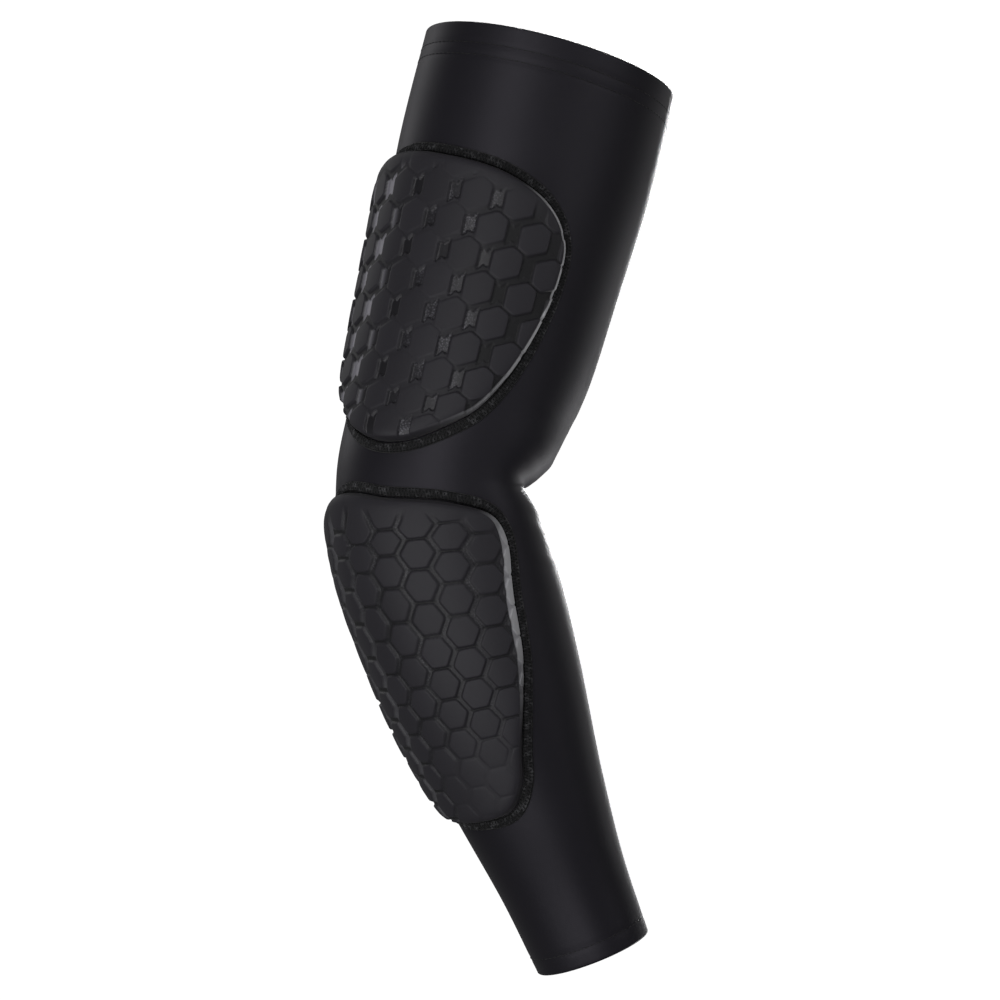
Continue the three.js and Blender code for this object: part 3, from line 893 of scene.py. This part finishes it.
def makePad(pad, node, material):
    # a grid spread over the pad's top, rings down its rounded side and in under it, and a last fan of faces
    foot = flatOutline(pad)
    sheet = moveOut(pad, foot, -padding["wallWidth"])
    footRadius, sheetRadius = radiusOf(foot), radiusOf(sheet)
    n = padding["grid"]
    a, b = np.meshgrid(np.linspace(-1, 1, n), np.linspace(-1, 1, n))  # columns across, rows down
    p, q = a * np.sqrt(1 - b * b / 2), b * np.sqrt(1 - a * a / 2)  # a square's points spread over a disc
    share, way = np.hypot(p, q), np.arctan2(q, p)
    flat = share * sheetRadius(way) * np.stack([np.cos(way), np.sin(way)])
    flat = flat.reshape(2, -1).T
    border = distanceInside(flat, sheet, stretchAt(pad, sheet))
    height, floor, slot, paintedHighlight, own = blockRelief(pad, flat, border)
    top = onPad(pad, flat, height)

    # the border of the grid, clockwise as seen from outside
    index = np.arange(n * n).reshape(n, n)
    loop = np.concatenate([index[0, :-1], index[:-1, -1], index[-1, :0:-1], index[:0:-1, 0]])
    loopWay = way.reshape(-1)[loop]
    compass = np.stack([np.cos(loopWay), np.sin(loopWay)], -1)
    inner, outer = sheetRadius(loopWay)[:, None] * compass, footRadius(loopWay)[:, None] * compass
    rings = []
    for step in np.linspace(0, np.pi / 2, padding["sideRings"] + 1)[1:]:
        rise = padding["seat"] + (height[loop] - padding["seat"]) * np.cos(step)
        rings.append(onPad(pad, inner + (outer - inner) * np.sin(step), rise))
    for step in np.linspace(1, 0, padding["underRings"] + 1)[1:-1]:
        rings.append(onPad(pad, outer * step, padding["seat"]))
    points = np.concatenate([top, *rings, onPad(pad, np.zeros((1, 2)), padding["seat"])])
    loops = [loop] + [n * n + k * len(loop) + np.arange(len(loop)) for k in range(len(rings))]
    faces = gridQuads(n, n, False, False).tolist()
    for high, low in zip(loops[:-1], loops[1:]):
        faces += np.stack([high, np.roll(high, -1), np.roll(low, -1), low], -1).tolist()
    last = loops[-1]
    faces += np.stack([last, np.roll(last, -1), np.full(len(last), len(points) - 1)], -1).tolist()

    # masks for the finish: the grooves, the slots' gloss and their light yarn with painted glints, the
    # painted highlight on the lit side and in the slots, each block's own number
    below = len(points) - len(top)
    # painted highlight on the side wall under the lit bevel
    wall = np.tile(highlightShare(pad, flat[loop], np.zeros(len(loop)))[0], (below - 1) // len(loop))
    most, end, fade = pad["gloss"]
    masks = {
        "floor": np.append(floor, np.zeros(below)),
        "gloss": np.append(slot * most * smoothStep((end - flat[:, 0]) / fade), np.zeros(below)),
        "yarnGlint": np.append(slot * yarnGlintShare(pad, flat), np.zeros(below)),
        "paintedHighlight": np.concatenate([paintedHighlight, wall, [0]]),
        "blocks": np.append(own, np.zeros(below)),
    }
    piece = addPiece(pad["name"] + "PadCover", points, faces, attributes=masks)
    settle(piece, material, node)
    return piece


def makePadFinish():
    # matt knit over the blocks, glossier in the slots with light yarn specks as painted glints, and a
    # near-white painted highlight on the lit side
    finish = Finish("padCover", Coat_Roughness=cover["coatRoughness"], Coat_Tint=sleeve["gleam"])
    finish.set(Sheen_Weight=cover["sheen"][0], Sheen_Roughness=cover["sheen"][1])
    place = finish.objectPlace()
    names = ("floor", "yarnGlint", "gloss", "paintedHighlight", "blocks")
    floor, yarnGlint, gloss, paintedHighlight, blocks = (finish.attribute(name) for name in names)
    slow = finish.noise(place, cover["slowScale"], 3)
    fine = finish.noise(place, cover["fineScale"], 2)
    yarn = finish.node("ShaderNodeTexVoronoi", {}, {"Vector": place, "Scale": cover["yarnScale"]})
    top = finish.mixColour(slow * 0.5 + blocks * 0.5, padding["cover"], padding["coverWorn"])
    # light yarn specks in the slots, painted lighter as glints
    scale, start, rise = cover["patches"]
    speck = (1 - yarn * 1.3) ** 2 * ((finish.noise(place, scale, 1) - start) * rise)
    groove = finish.mixColour(speck * yarnGlint, padding["groove"], padding["grooveYarnGlint"])
    tone = finish.mixColour(floor, top, groove)
    # the painted highlight in near-white over the lit bevel and slots
    finish.set(Base_Color=finish.mixColour(paintedHighlight, tone, padding["sideHighlight"]))
    base, slowPart, glossPart = cover["roughness"]
    finish.set(Roughness=base + slowPart * slow + glossPart * gloss)
    finish.set(Coat_Weight=gloss)
    relief = fine * (0.4 + 0.6 * floor) + (1 - yarn) * yarnGlint * cover["yarnRelief"]
    finish.set(Normal=finish.bump(relief, *cover["bump"]))
    return finish.material


# Seams: the flat stitched band round each pad, with its needle lines and crossing threads

seam = {
    "gap": 0.35 * mm,
    "width": 4.6 * mm,
    "under": 0.05 * mm,
    "low": 0.2 * mm,
    "high": 1.15 * mm,
    "ripple": 0.06 * mm,
    "stations": 640,
    "crossPitch": 1.5 * mm,
    "crossInset": 0.2 * mm,  # from the band's sides to the crossing threads' turns
    "crossLift": 0.1 * mm,
    "threadPoints": 6,
    "needleLines": (-1.45 * mm, 0, 1.45 * mm),
    "needleLength": 1.75 * mm,
    "needleGap": 0.45 * mm,
    "needleLift": 0.16 * mm,  # over the band, and as much again in a stitch's middle
    "needleLoose": 0.1,  # share of a pitch by which a stitch may come late
    "wander": 0.12 * mm,  # how far the needle lines stray, and over what run
    "wanderRun": 3.1 * mm,
    "threadRadius": 0.21 * mm,
    "band": (0.008, 0.008, 0.009, 1),
    "thread": (0.012, 0.012, 0.0135, 1),
    "threadLight": (0.13, 0.13, 0.14, 1),
}


def seamCourse(pad):
    # the seam's middle line as functions of the distance run along it: flat place, outward way, stretch
    foot = flatOutline(pad)
    middle = moveOut(pad, foot, seam["gap"] + seam["width"] / 2)
    ways, stretch = outwards(middle), stretchAt(pad, middle)
    table = np.concatenate([middle, ways / stretch[:, None]], 1)
    table = np.concatenate([table, table[:1]])
    return runAlong(onPad(pad, table[:, :2], 0)), table


def onSeam(pad, course, along, offset, height):
    # the middle line at that distance, moved out by the offset
    run, table = course
    along = np.mod(along, run[-1])
    x, y, wayX, wayY = (np.interp(along, run, table[:, k]) for k in range(4))
    return onPad(pad, np.stack([x + wayX * offset, y + wayY * offset], -1), height)


def bandHeight(offset):
    # low at both sides and domed between: low + (high - low) * (1 - (2 offset / width)^4)
    share = np.clip(1 - np.abs(2 * offset / seam["width"]) ** 4, 0, 1)
    return seam["low"] + (seam["high"] - seam["low"]) * share


def makeSeamBand(pad, node, course, material):
    # a closed band: its domed top and its flat underside, from station to station round the pad
    along = np.linspace(0, course[0][-1], seam["stations"], endpoint=False)[None]
    across = np.linspace(-0.5, 0.5, 11) * seam["width"]
    ripple = seam["ripple"] * np.sin(2 * np.pi * along / seam["crossPitch"])
    top = onSeam(pad, course, along, across[:, None], bandHeight(across)[:, None] + ripple)
    under = np.linspace(0.5, -0.5, 5)[1:-1] * seam["width"]
    bottom = onSeam(pad, course, along, under[:, None], seam["under"] + 0 * along)
    points = np.concatenate([top, bottom])
    faces = gridQuads(len(points), seam["stations"], True, True)
    return settle(addPiece(pad["name"] + "SeamBand", points, faces), material, node)


def makeSeamThreads(pad, course, material):
    # crossing threads zigzag from side to side; needle stitches run in lines over them, bowed outwards
    length = course[0][-1]
    count = 2 * round(length / seam["crossPitch"])
    share = np.linspace(0, 1, seam["threadPoints"])[None]
    k = np.arange(count)[:, None]
    reach = seam["width"] / 2 - seam["crossInset"]
    offset = np.where(k % 2 == 0, -reach + 2 * reach * share, reach - 2 * reach * share)
    along = (k + share) * length / count
    height = bandHeight(offset) + seam["crossLift"]
    lines = [onSeam(pad, course, along, offset, height)]
    ups = [onSeam(pad, course, along, offset, height + mm) - lines[0]]
    count = round(length / (seam["needleLength"] + seam["needleGap"]))
    k = np.arange(count)[:, None]
    along = (k + hash01(k, 5) * seam["needleLoose"]) * length / count + share * seam["needleLength"]
    for line in seam["needleLines"]:
        offset = line + seam["wander"] * np.sin(along / seam["wanderRun"] + line / mm)
        height = bandHeight(offset) + seam["needleLift"] * (1 + np.sin(np.pi * share))
        lines.append(onSeam(pad, course, along, offset, height))
        ups.append(onSeam(pad, course, along, offset, height + mm) - lines[-1])
    name = pad["name"] + "SeamThreads"
    piece = threadMesh(name, np.concatenate(lines), np.concatenate(ups), seam["threadRadius"], sides=5)
    return settle(piece, material)


def makeThreadFinish(name, dark, light, roughness):
    # patches of dark and light yarn, with a fine twist as its relief
    finish = Finish(name, Sheen_Weight=0.1)
    place = finish.objectPlace()
    speck = finish.noise(place, 420, 2)
    finish.set(Base_Color=finish.mixColour((speck - 0.5) * 4, dark, light))
    finish.set(Roughness=roughness + 0.1 * speck)
    twist = finish.node("ShaderNodeTexWave", {}, {"Vector": place, "Scale": 900, "Distortion": 2.0})
    finish.set(Normal=finish.bump(twist, 0.3, 0.04 * mm))
    return finish.material


# Building the pieces

pads = [(elbowPad, "elbow_pad"), (forearmPad, "forearm_pad")]
knittedSleeve = makeSleeve([pad for pad, node in pads])
print("sleeve:", len(knittedSleeve.data.polygons), "faces")

hemKnit = makeKnit("hemKnit", hem["colour"], hem["worn"])
top, bottom = -arm["upperLength"], arm["forearmLength"]
upperHem = makeHem("upperHem", "upper_hem", top, 1, hem["upperDepth"], hemKnit)
wristHem = makeHem("wristHem", "wrist_hem", bottom, -1, hem["wristDepth"], hemKnit)
threadFinish = makeThreadFinish("hemThread", hem["thread"], hem["threadLight"], 0.6)
upperLines = [top + line for line in sleeve["hemLines"]]
wristLine, wristEdge = bottom - sleeve["wristLine"], bottom - hem["wristLooperEdge"]
hemStitches = [
    stitchRound("upperHemStitches", upperLines, threadFinish),
    stitchRound("wristHemStitches", [wristLine], threadFinish),
    looperInside("upperHemLooper", *upperLines, threadFinish),
    looperInside("wristHemLooper", wristLine, wristEdge, threadFinish),
]
print("hems and their stitches:", sum(len(o.data.polygons) for o in hemStitches), "faces of thread")

padFinish = makePadFinish()
for pad, node in pads:
    padCover = makePad(pad, node, padFinish)
    print(pad["name"], "pad:", len(padCover.data.polygons), "faces")

bandFinish = makeThreadFinish("seamBand", seam["band"], seam["thread"], 0.85)
seamThread = makeThreadFinish("seamThread", seam["thread"], seam["threadLight"], 0.6)
seamPieces = []
for pad, node in pads:
    course = seamCourse(pad)
    seamPieces.append(makeSeamBand(pad, node + "_seam", course, bandFinish))
    seamPieces.append(makeSeamThreads(pad, course, seamThread))
    around, faces = round(course[0][-1] / mm), len(seamPieces[-1].data.polygons)
    print(pad["name"], "seam:", around, "mm round,", faces, "faces of thread")

# The studio: pale floor, white surround, soft boxes from the front and both sides, narrow ones from behind

studio = {
    "floorHeight": -0.45,
    "radius": 9.0,
    "floor": (0.8, 0.8, 0.8, 1),
    "floorGlow": 0.85,
    "surround": (1, 1, 1, 1),
    "surroundGlow": 1.0,
    "middle": 0.001,  # radius of the small hole that a disc begins from
    "around": 96,
    "ambient": 0.05,
    # turn: degrees to the camera's right of its own direction as seen from above; up: metres over the elbow
    "boxColumns": ("turn", "far", "up", "width", "tall", "watts"),
    "boxes": {
        "leftBox": (-130, 1.8, 0.9, 0.6, 1.2, 3.4),
        "leftLowBox": (-45, 2.4, -0.9, 1.0, 1.4, 11.5),
        "frontBox": (-10, 2.4, 0.9, 1.0, 1.4, 9.0),
        "frontLowBox": (-10, 2.4, -0.9, 1.0, 1.4, 8.8),
        "rightBox": (60, 2.4, 0.9, 1.0, 1.4, 5.1),
        "rightLowBox": (138, 1.6, -0.7, 0.5, 1.2, 6.0),
        "rightHighBox": (142, 1.6, 0.9, 0.5, 1.2, 1.5),
        "rearBox": (167, 1.6, 0.8, 0.5, 1.2, 60),
    },
}


def addBox(name, box):
    # an area light at target + far * (the camera's direction turned by its turn) + up, aimed at the target
    angle = math.radians(camera["azimuth"] + box["turn"])
    target = Vector(camera["target"])
    place = target + Vector((math.sin(angle) * box["far"], -math.cos(angle) * box["far"], box["up"]))
    data = bpy.data.lights.new(name, "AREA")
    data.shape = "RECTANGLE"
    data.size, data.size_y = box["width"], box["tall"]
    data.energy = box["watts"]
    light = bpy.data.objects.new(name, data)
    light.location = place
    light.rotation_mode = "QUATERNION"
    light.rotation_quaternion = (target - place).to_track_quat("-Z", "Y")
    light.visible_camera = False
    bpy.context.scene.collection.objects.link(light)


def stageDisc(name, radii, heights, colour, glow):
    # a surface of revolution: rings at the given radii and heights round Z
    angle = np.linspace(0, 2 * np.pi, studio["around"], endpoint=False)[None]
    radii, heights = np.array(radii)[:, None], np.array(heights)[:, None]
    points = np.stack([radii * np.cos(angle), radii * np.sin(angle), heights + 0 * angle], -1)
    disc = addPiece(name, points, gridQuads(len(radii), studio["around"], False, True))
    finish = Finish(name, Base_Color=colour, Roughness=0.9, Emission_Color=colour, Emission_Strength=glow)
    disc.data.materials.append(finish.material)
    for flag in ("visible_diffuse", "visible_glossy", "visible_shadow", "visible_transmission"):
        setattr(disc, flag, False)


def addStudio():
    # floor and dome glow by themselves and cast nothing on the sleeve, which the boxes alone light
    for name, row in studio["boxes"].items():
        addBox(name, dict(zip(studio["boxColumns"], row)))
    low, radius = studio["floorHeight"], studio["radius"]
    rings = np.array([studio["middle"], 1, 3, radius])
    stageDisc("floor", rings, low + 0 * rings, studio["floor"], studio["floorGlow"])
    rise = np.linspace(0, np.pi / 2, 12)
    rings = radius * np.cos(rise) + studio["middle"]
    stageDisc("surround", rings, low + radius * np.sin(rise), studio["surround"], studio["surroundGlow"])
    world = bpy.data.worlds.new("studioAir")
    world.use_nodes = True
    air = world.node_tree.nodes["Background"].inputs
    air["Color"].default_value = studio["surround"]
    air["Strength"].default_value = studio["ambient"]
    bpy.context.scene.world = world
    bpy.context.scene.view_settings.view_transform = "Standard"


addStudio()
print("studio ready")
